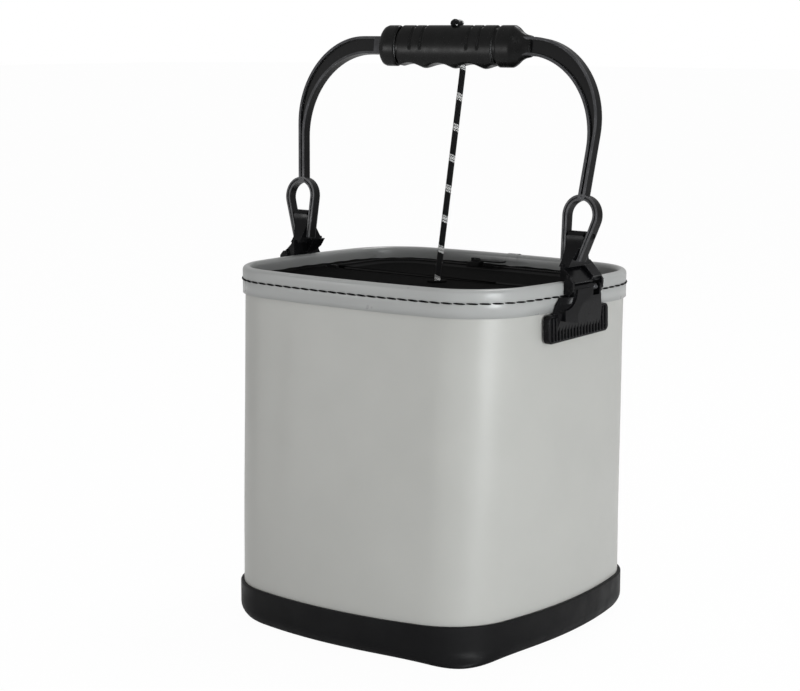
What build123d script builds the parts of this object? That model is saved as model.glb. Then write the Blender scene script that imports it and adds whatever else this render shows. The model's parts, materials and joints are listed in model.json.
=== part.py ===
from build123d import *
import math
import os

# Collapsible square fishing bucket with a swinging grip, a zipped lid and a rope for drawing water.
# Millimetres. The origin is on the ground under the middle of the bucket. +Z is up, +X runs along
# the grip and -Y is the plain front.

# Soft body: driving sizes
boot_half = (96.0, 97.0)
boot_radius = 43.0
boot_bow = 13.0
boot_height = 22.0
boot_floor = 3.0
boot_round = 9.0
wall_low = 12.0
board_t, liner_t = 2.5, 1.0
seam_x, seam_w = -30.0, 14.0
rim_half = (100.0, 81.0)
rim_radius = 40.0
rim_bow = 7.0
rim_top = 201.4
twist = 3.0
boot_skin = 2.0

# Rim binding, folded over the top of the wall round a sprung hoop
hem_height = 15.4
inner_hem_height = 8.0
hem_t = 1.2
hoop_r = 1.0
slack = 0.3
wall_skin_t = 1.7
rim_t = 2 * (hem_t + slack) + wall_skin_t + 0.3
wall_top = rim_top - hem_t - 2 * hoop_r - 0.2
hem_low = rim_top - hem_height

# Lid and its zip
lid_z = 192.0
lid_t = 1.2
flap_hinge_y = 12.0
zip_x, zip_y = 83.0, 65.5
zip_radius = 27.0
chain_w, chain_h = 1.7, 2.0
chain_gap = 0.2
tape_w, tape_t = 6.5, 0.6

# Bail, measured in its own plane from the pivot pin
pivot_z = 225.0
lean = 7.0
grip_h = 100.8
grip_a, grip_b = 6.3, 11.7
barrel_mid, barrel_half, collar_start = 1.5, 33.6, 35.6
wave_pitch, wave_shift, wave_depth, wave_r = 21.4, 7.0, 2.6, 17.0
frame_d = 5.5
loop_x, loop_h, loop_r = 101.0, 11.0, 11.2
leg_t = 3.0
leg_end_x, leg_end_h = 97.4, -12.5
leg_end_half = 6.4
hole_foot_h, hole_foot_half = -18.5, 2.6
pin_r, pin_head_r, pin_head_t = 1.2, 1.8, 0.8

# Rope
rope_r = 1.75
rope_play = 0.6
rope_hinge = 2.2
rope_exit_x, rope_lid_x, knot_x = 12.4, 5.9, 5.2
exit_h = grip_h - grip_b
rope_bend_r = 6.0
coil_inner = 19.5
coil_pitch = 4.15
coil_rise = 4.05
coil_layers = 4
half_turns = 11
climb_room = 0.45
drop_last_run = 16.0
tail_r = 10.5

parts = {}


def outline(half, radius, bow, z=0.0, turn=0.0):
    """Rounded rectangle whose four sides bow outwards, as a flat face at height z."""
    x, y = half
    cx, cy = x - bow, y - bow
    sides = Curve() + [
        ThreePointArc((-cx, -cy), (0, -y), (cx, -cy)),
        ThreePointArc((cx, -cy), (x, 0), (cx, cy)),
        ThreePointArc((cx, cy), (0, y), (-cx, cy)),
        ThreePointArc((-cx, cy), (-x, 0), (-cx, -cy)),
    ]
    face = make_face(sides)
    face = fillet(face.vertices(), radius)
    return Pos(0, 0, z) * Rot(0, 0, turn) * face


def boot_outline(inset, z):
    half = (boot_half[0] - inset, boot_half[1] - inset)
    return outline(half, boot_radius - inset, boot_bow, z, twist)


def rim_outline(inset, z):
    half = (rim_half[0] - inset, rim_half[1] - inset)
    return outline(half, rim_radius - inset, rim_bow, z)


def rim_ring(inset_out, inset_in, z0, z1):
    """Flat-sided ring between two insets of the rim's outline."""
    ring = rim_outline(inset_out, z0) - rim_outline(inset_in, z0)
    return extrude(ring, z1 - z0)


def body_solid(grow):
    """The space inside the wall's outer face, grown outwards, from the boot's floor up."""
    inset = boot_skin - grow
    rim_inset = hem_t + slack - grow
    low = extrude(boot_outline(inset, boot_floor), boot_height - boot_floor)
    low = fillet(low.edges().group_by(Axis.Z)[0], boot_round - inset)
    middle = loft([boot_outline(inset, boot_height), rim_outline(rim_inset, hem_low)], ruled=True)
    return low + middle + extrude(rim_outline(rim_inset, hem_low), wall_top - hem_low)


def rounded_plate(x0, x1, half_y, height, r):
    """Upright plate across X with its four corners rounded, centred on the X axis."""
    face = Plane.YZ * RectangleRounded(2 * half_y, height, r)
    return Pos(x0, 0, 0) * extrude(face, x1 - x0)


def soft_body():
    """Moulded boot, floor board and liner, wall tube and the strip that welds its seam."""
    inside = body_solid(0)
    boot = extrude(boot_outline(0, 0), boot_height)
    boot = fillet(boot.edges().group_by(Axis.Z)[0], boot_round)
    boot = fillet(boot.edges().group_by(Axis.Z)[-1], 0.6)
    parts["boot"] = boot - inside
    wall = inside - body_solid(-wall_skin_t) - extrude(boot_outline(0, boot_floor), wall_low - boot_floor)
    wall -= extrude(rim_outline(hem_t + slack + wall_skin_t, hem_low), hem_height)
    parts["wall"] = wall
    board_inset = boot_round + slack
    parts["floor_board"] = extrude(boot_outline(board_inset, boot_floor), board_t)
    parts["floor_liner"] = extrude(boot_outline(board_inset - 1.5, boot_floor + board_t), liner_t)
    seam = body_solid(0.8) - inside
    seam_low, seam_high = boot_height + 2, hem_low - 0.5
    window = Pos(seam_x, 90, (seam_low + seam_high) / 2) * Box(seam_w, 60, seam_high - seam_low)
    parts["wall_seam_strip"] = seam & window


def rim():
    """Binding folded over the wall's top, and the hoop that keeps the mouth open."""
    binding = rim_ring(0, hem_t, hem_low, rim_top)
    binding += rim_ring(rim_t - hem_t, rim_t, rim_top - inner_hem_height, rim_top)
    binding += rim_ring(0, rim_t, rim_top - hem_t, rim_top)
    binding = fillet(binding.edges().group_by(Axis.Z)[-1], 0.8)
    for hole in stud_holes():
        binding -= hole
        parts["wall"] -= hole
    parts["rim_binding"] = binding
    path = rim_outline(rim_t / 2, rim_top - hem_t - hoop_r - 0.1).face().outer_wire()
    section = Plane(origin=path @ 0, z_dir=path % 0) * Circle(hoop_r)
    parts["hoop_wire"] = sweep(section, path)


def zip_face(grow, y_low):
    """U shape of the zip, open towards the lid's hinge, grown outwards from its centre line."""
    x, y, r = zip_x + grow, zip_y + grow, zip_radius + grow
    u = Rectangle(2 * x, y - y_low + 2 * r, align=(Align.CENTER, Align.MIN))
    u = fillet(u.vertices(), r)
    u = Pos(0, y_low - 2 * r) * u
    return u & Pos(0, y_low) * Rectangle(400, 400, align=(Align.CENTER, Align.MIN))


def zip_strip(grow_out, grow_in, z, height, y_low):
    strip = zip_face(grow_out, y_low) - zip_face(grow_in, y_low - 5)
    return Pos(0, 0, z) * extrude(strip, height)


def lid():
    """Mesh lid: a fixed front with the rope's eyelet, and a rear flap closed by a zip."""
    mouth = rim_outline(rim_t + slack, lid_z).face()
    side = chain_gap / 2
    flap_y = flap_hinge_y + slack
    front = extrude(mouth, lid_t) - Pos(0, 0, lid_z - 1) * extrude(zip_face(side, flap_hinge_y - slack), 5)
    parts["lid_front"] = front - Pos(*eyelet_at()) * Cylinder(eyelet_hole + 1.2, 8)
    parts["lid_flap"] = Pos(0, 0, lid_z) * extrude(zip_face(-side, flap_y), lid_t)
    top = lid_z + lid_t
    tape_side = side + chain_w + 0.03
    parts["zip_tape_rim"] = zip_strip(tape_side + tape_w, tape_side, top, tape_t, flap_y)
    parts["zip_tape_rim"] &= extrude(rim_outline(rim_t + slack, top), tape_t)
    parts["zip_tape_flap"] = zip_strip(-tape_side, -tape_side - tape_w, top, tape_t, flap_y)
    parts["zip_chain_rim"] = zip_strip(side + chain_w, side, top, chain_h, flap_y)
    parts["zip_chain_flap"] = zip_strip(-side, -side - chain_w, top, chain_h, flap_y)
    hinge_w, hinge_t = 9.0, 0.8
    hinge = Pos(0, flap_hinge_y, top + hinge_t / 2) * Box(2 * zip_x - 16, hinge_w, hinge_t)
    hinge -= Pos(0, flap_hinge_y + hinge_w / 2, top) * Box(400, hinge_w - 2 * slack, 9)
    parts["flap_hinge_tape"] = hinge
    stops = []
    for sign in (-1, 1):
        stops.append(Pos(sign * zip_x, flap_hinge_y - 3.0, top + 0.9) * Box(5.2, 2.4, 1.8))
    parts["zip_end_stops"] = Compound(children=stops)


def rope_at(h):
    """Point of the tight rope's straight line, at a height over the pivot in the bail's plane."""
    lid_h = (lid_z - pivot_z) / math.cos(math.radians(lean))
    slope = (rope_exit_x - rope_lid_x) / (exit_h - lid_h)
    return Vector(rope_lid_x + slope * (h - lid_h), 0, h)


def rope_at_level(z):
    """Point of the same line where the resting rope crosses a level below the pivot."""
    h = (z - pivot_z) / math.cos(math.radians(lean))
    along = rope_at(h)
    a = math.radians(lean)
    return Vector(along.X, h * math.sin(a), z)


def eyelet_at():
    """Centre of the rope's eyelet in the lid."""
    spot = rope_at_level(lid_z + lid_t / 2)
    return (spot.X, spot.Y, spot.Z)


def eyelet():
    """Two flanges and a barrel round the rope's hole in the lid."""
    ring = Cylinder(eyelet_hole + 1.0, lid_t + 0.2)
    ring += Pos(0, 0, lid_t / 2 + 0.5) * Cylinder(eyelet_hole + 3.2, 0.8)
    ring += Pos(0, 0, -lid_t / 2 - 0.5) * Cylinder(eyelet_hole + 3.2, 0.8)
    ring -= Cylinder(eyelet_hole, 8)
    parts["rope_eyelet"] = Pos(*eyelet_at()) * ring


def zip_slider():
    """Slider over both chains on the straight back run, and the pull tab that lies on the flap."""
    top = lid_z + lid_t
    clear = 0.25
    length, width = 9.0, 2 * chain_w + chain_gap + 2 * clear + 2.4
    roof = chain_h + clear
    low = top + tape_t + 0.15
    body = Pos(0, 0, low) * extrude(RectangleRounded(length, width, 1.1), top + roof + 1.2 - low)
    body -= Pos(0, 0, top + roof / 2) * Box(length + 2, width - 2.4, roof)
    crown_z = top + roof + 1.35
    crown = Pos(0, 0, crown_z + 0.9) * Box(5.0, 2.0, 2.4) - Pos(0, 0, crown_z + 0.9) * Box(2.6, 3, 1.2)
    parts["zip_slider"] = Pos(slider_x, zip_y, 0) * (body + crown)
    pin = Pos(0.4, 0, crown_z + 0.9) * Rot(90, 0, 0) * Cylinder(0.45, 5.2)
    arms = [Pos(2.6, y, crown_z + 0.9) * Box(4.6, 0.9, 0.9) for y in (2.2, -2.2)]
    tab = Pos(13.0, 0, crown_z + 0.45) * extrude(RectangleRounded(17.0, 6.4, 2.4), 0.9)
    tab -= Pos(16.5, 0, crown_z + 0.9) * Cylinder(1.4, 3)
    parts["zip_pull"] = Pos(slider_x, zip_y, 0) * (pin + tab + arms)


slider_x = -20.0
eyelet_hole = 2.4

# Hangers: a head outside the rim with a post for the bail's pin, and a sprung jaw below it
plate_half, plate_y, plate_low, plate_high = 28.0, -2.4, 170.5, 185.9
plate_tilt = 2.0
plate_back, plate_front = 98.9, 102.6
rib_count, rib_pitch, rib_w = 18, 2.9, 1.2
neck_back = rim_half[0] + 0.1
jaw_x, jaw_z = 103.0, 197.5
jaw_y = (-11.9, 13.4)
jaw_pin_r, knuckle_r = 1.0, 2.85
ear_t = 1.6
head_inner = 96.4
stud_r, stud_z, stud_play = 0.6, 196.4, 0.1
pocket_y = (6.0, 12.0)
spring_wire = 0.35
post_play = 0.5


def trapezium(z, back_lo, back_hi, front_x, front_lo, front_hi):
    """Level section of the jaw's neck: wide against the wall and narrow in front."""
    corners = [(neck_back, back_lo), (front_x, front_lo), (front_x, front_hi), (neck_back, back_hi)]
    return Pos(0, 0, z) * make_face(Polyline(*corners, close=True))


def prism_y(points, y0, y1):
    """Solid of a profile given in X and Z, between two places along Y."""
    face = Plane.XZ * make_face(Polyline(*points, close=True))
    return Pos(0, y1, 0) * extrude(face, y1 - y0)


def along_x(x0, x1, y, z, r):
    return Pos((x0 + x1) / 2, y, z) * Rot(0, 90, 0) * Cylinder(r, x1 - x0)


def along_y(x, y0, y1, z, r):
    return Pos(x, (y0 + y1) / 2, z) * Rot(90, 0, 0) * Cylinder(r, y1 - y0)


def jaw_plate():
    """Ribbed plate that presses on the wall just below the hem, a little higher at its rear end."""
    height = plate_high - plate_low
    plate = rounded_plate(plate_back, plate_front, plate_half, height, 3.0)
    plate = fillet(plate.edges().group_by(Axis.X)[-1], 0.7)
    for i in range(rib_count):
        y = (i - (rib_count - 1) / 2) * rib_pitch
        rib = Pos(plate_front, y, 0) * Box(1.8, rib_w, height - 2.6)
        plate += fillet(rib.edges().group_by(Axis.X)[-1], 0.4)
    return Pos(0, plate_y, (plate_low + plate_high) / 2) * Rot(plate_tilt, 0, 0) * plate


def jaw_neck():
    """Trumpet-shaped neck with an S-shaped step between its front and rear arms, and the spring's pocket."""
    y0, y1 = jaw_y
    sections = [
        trapezium(jaw_z, -14.5, 16.5, 105.7, y0, y1),
        trapezium(190.0, -21.5, 17.5, 105.4, -13.5, 14.0),
        trapezium(185.5, -23.8, 18.5, 104.6, -20.5, 16.0),
        trapezium(176.5, -26.0, 19.0, 103.0, -24.0, 17.0),
    ]
    neck = loft(sections, ruled=True)
    neck = neck - Pos(103, 0, jaw_z) * Box(20, 100, 7.8) + along_y(jaw_x, y0, y1, jaw_z, knuckle_r)
    neck += prism_y([(jaw_x - knuckle_r, jaw_z - 4), (105.6, jaw_z - 4), (jaw_x + knuckle_r, jaw_z),
                     (jaw_x - knuckle_r, jaw_z)], y0, y1)
    arm = [
        Spline((2.9, jaw_z), (2.6, 193.6), (-4.6, 189.4), (-8.6, 185.6), (-9.0, 179.5)),
        Line((-9.0, 179.5), (-21.0, 181.5)),
        Line((-21.0, 181.5), (-21.0, 187.3)),
        ThreePointArc((-21.0, 187.3), (-12.6, 190.6), (-9.8, jaw_z)),
        Line((-9.8, jaw_z), (2.9, jaw_z)),
    ]
    arm = Pos(101.0, 0, 0) * extrude(Plane.YZ * make_face(Curve() + arm), 5.6)
    return neck + arm


def jaw():
    """Jaw below the head: knuckle, neck and plate, cut clear of the hem behind it."""
    hem_space = extrude(rim_outline(-0.1, hem_low - 0.2), hem_height + 0.3)
    body = jaw_plate() - hem_space + jaw_neck()
    pocket = Pos(jaw_x, (pocket_y[0] + pocket_y[1]) / 2, jaw_z) * Box(12, pocket_y[1] - pocket_y[0], 9.0)
    body -= pocket
    return body - along_y(jaw_x, -30, 30, jaw_z, jaw_pin_r + 0.05)


def head():
    """Faceted shoulder outside the rim, with an ear each side of the jaw's knuckle and two studs."""
    seat = rim_top + 0.1
    under = jaw_z + knuckle_r + 0.4
    inner = [(head_inner, 210.6), (head_inner, seat), (neck_back, seat), (neck_back, under)]
    body = prism_y(inner + [(106.0, under), (106.2, under + 0.5), (98.7, 208.2), (97.4, 210.6)], -12.0, 3.6)
    body += prism_y(inner + [(104.2, under), (106.3, 203.5), (98.7, 211.2), (head_inner, 211.2)], 4.7, 13.0)
    body += prism_y(inner + [(102.4, under + 0.6), (97.4, 207.2)], 3.0, 5.5)
    body += prism_y([(90.2, 210.6), (head_inner, seat), (98.0, seat), (98.0, 210.6)], -1.3, 8.8)
    ear = [(neck_back, seat), (neck_back, jaw_z - 2.6), (jaw_x + 0.5, jaw_z - 3.4), (105.8, jaw_z - 1.0),
           (106.0, under + 0.5), (103.5, 204.0)]
    y0, y1 = jaw_y
    for low, high in ((y0 - 0.3 - ear_t, y0 - 0.3), (y1 + 0.3, y1 + 0.3 + ear_t)):
        body += prism_y(ear, low, high)
    bridge = [(neck_back, seat), (neck_back, under), (105.0, under), (101.5, 205.0)]
    body += prism_y(bridge, y0 - 1.5, y1 + 1.5)
    body -= rear_chamfer(seat)
    body -= along_y(jaw_x, -30, 30, jaw_z, jaw_pin_r + 0.02)
    for y in stud_places():
        body += along_x(rim_half[0] - hem_t - slack - wall_skin_t, neck_back + 0.5, y, stud_z, stud_r)
    return body


def rear_chamfer(seat):
    """Wedge taken off the head's rear end above the rim, so that its underside rises there."""
    wedge = Polyline((3.5, seat - 0.1), (16.0, seat - 0.1), (16.0, seat + 10.5), close=True)
    return Pos(85.0, 0, 0) * extrude(Plane.YZ * make_face(wedge), neck_back - 85.0)


def stud_places():
    """Places along Y of the studs on the backs of a head's two ears."""
    y0, y1 = jaw_y
    return y0 - 0.3 - ear_t / 2, y1 + 0.3 + ear_t / 2


def stud_holes():
    """Holes through the hem's outer layer and the wall for the studs of both hangers."""
    reach = rim_half[0] + 1
    holes = [along_x(reach - 6, reach, y, stud_z, stud_r + stud_play) for y in stud_places()]
    return holes + [mirror(hole, Plane.YZ) for hole in holes]


def biarc(p0, t0, p1, t1):
    """Two tangent arcs from one point and direction to another."""
    v, t = p1 - p0, t0 + t1
    share = 2 * (1 - t0.dot(t1))
    d = (-v.dot(t) + math.sqrt(v.dot(t) ** 2 + share * v.dot(v))) / share
    joint = (p0 + p1 + (t0 - t1) * d) * 0.5
    first = Edge.make_tangent_arc(p0, t0, joint)
    return [first, Edge.make_tangent_arc(joint, first % 1, p1)]


def jaw_spring():
    """Torsion spring round the jaw's pin, in the pocket."""
    r, pitch, turns = jaw_pin_r + spring_wire + 0.35, 1.05, 4
    y = pocket_y[0] + 0.9
    edges = []
    for k in range(2 * turns):
        side = 1 if k % 2 == 0 else -1
        p0 = Vector(jaw_x + side * r, y + k * pitch / 2, jaw_z)
        p1 = Vector(jaw_x - side * r, y + (k + 1) * pitch / 2, jaw_z)
        way = Vector(0, pitch / 2, math.pi * r * side).normalized()
        edges += biarc(p0, way, p1, Vector(0, way.Y, -way.Z))
    return tube(Wire(edges), spring_wire)


def hanger_post():
    """Tongue between the fork's legs, with a rounded top round the pivot pin."""
    top_mid, top_half = fork_mid(0), fork_half(0) - post_play
    foot_mid, foot_half = fork_mid(leg_end_h), fork_half(leg_end_h) - post_play
    neck_h = -5.0
    sections = [
        Pos(top_mid, 0, pivot_z) * Rectangle(2 * top_half, 5.6),
        Pos(fork_mid(neck_h), 0, pivot_z + neck_h) * Rectangle(2 * (fork_half(neck_h) - post_play), 6.4),
        Pos(foot_mid, 0.5, pivot_z + leg_end_h) * Rectangle(2 * foot_half, 16.0),
        Pos(foot_mid, 0.8, 209.0) * Rectangle(2 * foot_half, 22.0),
    ]
    post = loft(sections, ruled=True)
    cap_half = top_half - 0.8
    post += along_x(top_mid - cap_half, top_mid + cap_half, 0, pivot_z, 2.8)
    return post - along_x(80, 120, 0, pivot_z, pin_r + 0.05)


def fork_mid(h):
    """Middle of a loop's two legs in X, at a height over the pin."""
    return loop_x + (leg_end_x - loop_x) * (loop_h - h) / (loop_h - leg_end_h)


def drop_half(circle_r, foot_half, foot_h, h):
    """Half width of a teardrop at a height: the line from its foot's corner that touches its circle."""
    rise = loop_h - foot_h
    reach = math.hypot(foot_half, rise)
    tilt = math.asin(circle_r / reach) - math.atan2(foot_half, rise)
    return foot_half + (h - foot_h) * math.tan(tilt)


def fork_half(h):
    """Half of the clear width between a loop's two legs, at a height over the pin."""
    return drop_half(loop_r - leg_t, hole_foot_half, hole_foot_h, h)


def pin_seat():
    """Half of the distance between the seats of the pin's two heads, which are sunk in the fork's legs."""
    return drop_half(loop_r, leg_end_half, leg_end_h, 0) - 0.9


def pivot_pin():
    """Pin through the fork's legs and the post, with a flat head at both ends."""
    middle, half = fork_mid(0), pin_seat() + 0.05
    pin = along_x(middle - half, middle + half, 0, pivot_z, pin_r)
    for side in (-1, 1):
        x = middle + side * (half + pin_head_t / 2)
        pin += along_x(x - pin_head_t / 2, x + pin_head_t / 2, 0, pivot_z, pin_head_r)
    return pin


def hangers():
    """Hanger, jaw, pins and spring for the right side, and their mirror images for the left."""
    pieces = {
        "hanger": head() + hanger_post(),
        "jaw": jaw(),
        "jaw_pin": along_y(jaw_x, jaw_y[0] - 2.2, jaw_y[1] + 2.2, jaw_z, jaw_pin_r),
        "jaw_spring": jaw_spring(),
        "pivot_pin": pivot_pin(),
    }
    for name, shape in pieces.items():
        parts[name + "_right"] = shape
        parts[name + "_left"] = mirror(shape, Plane.YZ)


def leaning(shape):
    """Turns a shape drawn in the upright bail's plane back to the lean that the bail rests at."""
    return Pos(0, 0, pivot_z) * Rot(-lean, 0, 0) * shape


# Arm curves in the bail's plane: centre, radius and the slope at which each runs into the loop
outer_c, outer_r = (60.0, 59.1), 46.8
inner_c, inner_r = (57.0, 51.1), 44.7
arm_slope = 6.0
arm_foot_h = 19.5
arm_start = 44.0


def arm_face():
    """Arm of the bail: deep beside the grip, slim above its loop."""
    a = math.radians(arm_slope)
    out_end = (outer_c[0] + outer_r * math.cos(a), outer_c[1] - outer_r * math.sin(a))
    in_end = (inner_c[0] + inner_r * math.cos(a), inner_c[1] - inner_r * math.sin(a))
    out_foot = (out_end[0] - (out_end[1] - arm_foot_h) * math.tan(a), arm_foot_h)
    in_foot = (in_end[0] - (in_end[1] - arm_foot_h) * math.tan(a), arm_foot_h)
    top, low = outer_c[1] + outer_r, inner_c[1] + inner_r
    edges = [
        Line((arm_start, low), (arm_start, top)),
        Line((arm_start, top), (outer_c[0], top)),
        CenterArc(outer_c, outer_r, 90, -90 - arm_slope),
        Line(out_end, out_foot),
        Line(out_foot, in_foot),
        Line(in_foot, in_end),
        CenterArc(inner_c, inner_r, -arm_slope, 90 + arm_slope),
        Line((inner_c[0], low), (arm_start, low)),
    ]
    return make_face(Curve() + edges)


def drop_shape(circle_r, end_half, end_h):
    """Filled teardrop: a circle drawn down to a narrow, flat foot."""
    end_x = fork_mid(end_h)
    ring = Pos(loop_x, loop_h) * Circle(circle_r)
    foot = Pos(end_x, end_h - 0.5) * Rectangle(2 * end_half, 1.0)
    return make_hull(ring.edges() + foot.edges())


def loop_face():
    """Teardrop loop with an open foot, which makes the fork that the pin joins to its hanger."""
    hole = drop_shape(loop_r - leg_t, hole_foot_half, hole_foot_h)
    return drop_shape(loop_r, leg_end_half, leg_end_h) - hole


def loop_groove():
    """Ring along the middle of a loop's two faces."""
    edge = 1.0
    inner = drop_shape(loop_r - leg_t + edge, hole_foot_half + edge, hole_foot_h)
    return drop_shape(loop_r - edge, leg_end_half - edge, leg_end_h + 1.5 * edge) - inner


def bail():
    """Bail frame in one moulding: core bar, two channelled arms, and two grooved and forked loops."""
    groove, shallow = 1.3, 0.6
    arm = extrude(Plane.XZ * arm_face(), frame_d / 2, both=True)
    channel = extrude(Plane.XZ * offset(arm_face(), amount=-1.5, kind=Kind.INTERSECTION), groove)
    loop = extrude(Plane.XZ * loop_face(), frame_d / 2, both=True)
    ring = extrude(Plane.XZ * loop_groove(), shallow)
    for y in (frame_d / 2, groove - frame_d / 2):
        arm -= Pos(0, y, 0) * channel
    for y in (frame_d / 2, shallow - frame_d / 2):
        loop -= Pos(0, y, 0) * ring
    side = arm + loop - along_x(80, 120, 0, 0, pin_r + 0.05)
    for x in (fork_mid(0) - pin_seat() - 5, fork_mid(0) + pin_seat()):
        side -= along_x(x, x + 5, 0, 0, pin_head_r + 0.1)
    core = Pos(0, 0, grip_h) * Box(104, frame_d, 7.4)
    frame = side + mirror(side, Plane.YZ) + core - rope_hole()
    parts["bail_frame"] = leaning(frame)


def rope_bore():
    """Straight line of the rope through the grip: in beside its middle on top, out further along below."""
    low = rope_at(exit_h)
    high = Vector(knot_x, 0, grip_h + grip_b)
    return low, high, (high - low).normalized()


def rope_hole(play=rope_play):
    """Slanted hole for the rope through the grip, open at both ends."""
    low, high, way = rope_bore()
    return tube(Line(low - way * 6, high + way * 8), rope_r + play)


def oval(x, share, low=0.0):
    """Upright oval section of the grip at a place along X, as a share of its full size."""
    section = Plane.YZ * Ellipse(grip_a * share, (grip_b + low / 2) * share)
    return Pos(x, 0, grip_h - low / 2) * section


def oval_run(x0, x1, share, low=0.0):
    """Stretch of the grip with one oval section."""
    return extrude(oval(x0, share, low), x1 - x0)


def barrel():
    """Grip barrel: shallow grooves over its top near each end, and finger waves cut into its underside."""
    ridge = 1.0
    body = oval_run(barrel_mid - barrel_half, barrel_mid + barrel_half, 1.0, ridge)
    for sign in (-1, 1):
        for middle in (16.6, 24.2):
            x, half = barrel_mid + sign * middle, 0.6
            ring = oval_run(x - half, x + half, 1.2, ridge) - oval_run(x - half, x + half, 0.93, ridge)
            body -= ring & Pos(x, 0, grip_h + 18.5) * Box(10, 40, 40)
    for i in (-1, 0, 1, 2):
        x = wave_shift + (i - 0.5) * wave_pitch
        body -= along_y(x, -30, 30, grip_h - grip_b - ridge - wave_r + wave_depth, wave_r)
    return body + oval_run(barrel_mid - collar_start, barrel_mid + collar_start, 0.84)


def grip():
    """Two soft grip halves round the core bar, and an end collar each side, longer on the right."""
    core_room = Pos(0, 0, grip_h) * Box(200, frame_d + 0.1, 7.5)
    body = barrel() - core_room - rope_hole()
    for name, sign in (("front", -1), ("rear", 1)):
        side = Pos(0, sign * 50, grip_h) * Box(200, 100, 100)
        parts["grip_" + name] = leaning(body & side)
    arm_room = offset(arm_face(), amount=0.05, kind=Kind.INTERSECTION)
    arm_room = extrude(Plane.XZ * arm_room, frame_d / 2 + 0.05, both=True)
    right = [(47.5, 1.0), (49.5, 0.9), (52.5, 0.68), (55.5, 0.54)]
    left = [(42.8, 1.0), (44.8, 0.93), (46.2, 0.8), (47.0, 0.6)]
    for name, shift, stations, plane in (("right", 1, right, None), ("left", -1, left, Plane.YZ)):
        start = collar_start + 0.2 + shift * barrel_mid
        stations = [(start, 0.94), (start + 0.8, 1.0)] + stations
        collar = loft([oval(x, share) for x, share in stations], ruled=True)
        collar = collar - Pos(0, 0, grip_h) * Box(104.1, frame_d + 0.1, 7.5) - arm_room
        parts["grip_collar_" + name] = leaning(mirror(collar, plane) if plane else collar)


def tube(path, r):
    return sweep(Plane(origin=path @ 0, z_dir=path % 0) * Circle(r), path)


def rope():
    """Rope: knot on the grip, straight run to the lid, slack drop inside, and a coil on the floor."""
    low, high, way = rope_bore()
    knot_tube_r, knot_ring_r = 1.5, 2.7
    knot = Pos(knot_x, 0, grip_h + grip_b + knot_tube_r + 0.1) * Torus(knot_ring_r, knot_tube_r)
    parts["rope_knot"] = leaning(knot - rope_hole(0.15))
    run = FilletPolyline(rope_at(rope_hinge), low, high + way * 2.4, radius=rope_bend_r)
    parts["rope_straight"] = leaning(tube(run, rope_r))
    low_end = rope_at_level(lid_z - 4)
    neck = Line(rope_at_level(pivot_z), low_end)
    parts["rope_neck"] = tube(neck, rope_r) + Pos(*(neck @ 0)) * Sphere(rope_r)
    coil_path, tail, lead = coil_route()
    parts["rope_coil"] = tube(coil_path, rope_r)
    drop = drop_route(low_end, lead)
    parts["rope_drop"] = tube(drop, rope_r)
    start = tail @ 1
    knot = Torus(2.4, 1.7) + Cylinder(1.5, 3.4) - Pos(0, 0, 51) * Box(100, 100, 100)
    knot = Pos(start.X - 1.0, start.Y, start.Z - rope_r + 4.1) * Rot(0, 90, 0) * knot
    parts["rope_end_knot"] = knot
    total = run.length + neck.length + coil_path.length + drop.length
    print("rope length", round(total), "of which coil", round(coil_path.length), "drop", round(drop.length))
    report_gap(coil_path)


def coil_route():
    """Spiral of half circles, out and in by turns, that climbs a layer in each reversing half turn."""
    floor = boot_floor + board_t + liner_t + rope_r + 0.05
    sign, r, z = 1, coil_inner, floor
    tail = Edge.make_tangent_arc(Vector(r, 0, z), Vector(0, -1, 0), Vector(r - tail_r, -tail_r, z))
    edges = [tail]
    for layer in range(coil_layers):
        way = 1 if layer % 2 == 0 else -1
        for turn in range(half_turns):
            beside_climb = turn == half_turns - 1 or (turn == 0 and layer > 0)
            r_next = r + way * (coil_pitch / 2 + (climb_room if beside_climb else 0))
            start, stop = (sign * r, 0, z), (-sign * r_next, 0, z)
            middle = (sign * (r - r_next) / 2, sign * (r + r_next) / 2, z)
            edges.append(ThreePointArc(start, middle, stop))
            sign, r = -sign, r_next
        if layer < coil_layers - 1:
            edges += climb(sign, r, z)
            sign, z = -sign, z + coil_rise
    end = Vector(sign * r, 0, z)
    lead = Edge.make_tangent_arc(end, Vector(0, sign, 0), end + Vector(-sign * 13.2, sign * 14.5, 9.0))
    return Wire(edges + [lead]), tail, lead


def climb(sign, r, z):
    """Half turn of two equal arcs that rises by one layer and stays level at both ends."""
    span = Vector(-2 * sign * r, 0, coil_rise)
    reach = span.length / 2
    joint = Vector(0, sign * reach, z + coil_rise / 2)
    first = Edge.make_tangent_arc(Vector(sign * r, 0, z), Vector(0, sign, 0), joint)
    second = Edge.make_tangent_arc(joint, first % 1, Vector(-sign * r, 0, z + coil_rise))
    return [first, second]


def drop_route(top, lead):
    """Slack run from the lid's eyelet down to the coil, which it meets along the coil's lead."""
    end, way = lead @ 1, lead % 1
    above = end + way * drop_last_run
    hanging = rope_at_level(160.0)
    points = [top, hanging, (-1.0, -7.0, 124.0), (1.5, -3.0, 90.0), (7.0, -6.0, 58.0), above, end]
    points = [Vector(*point) for point in points]
    radii = []
    for before, here, after in zip(points, points[1:], points[2:]):
        run_in, run_out = here - before, after - here
        turn = math.radians(run_in.get_angle(run_out))
        radii.append(0.45 * min(run_in.length, run_out.length) / math.tan(turn / 2))
    print("rope drop radii", [round(r, 1) for r in radii])
    return FilletPolyline(*points, radius=radii)


def report_gap(path):
    """Prints the least gap between turns of the coil that aren't next to each other along it."""
    step = 3.0
    count = int(path.length / step)
    spots = [path @ (i / count) for i in range(count + 1)]
    skip = int(30 / step)
    least = min(
        (spots[i] - spots[j]).length
        for i in range(0, count, 2)
        for j in range(i + skip, min(count, i + int(330 / step)))
    )
    print("least gap in the coil", round(least - 2 * rope_r, 2))


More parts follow.
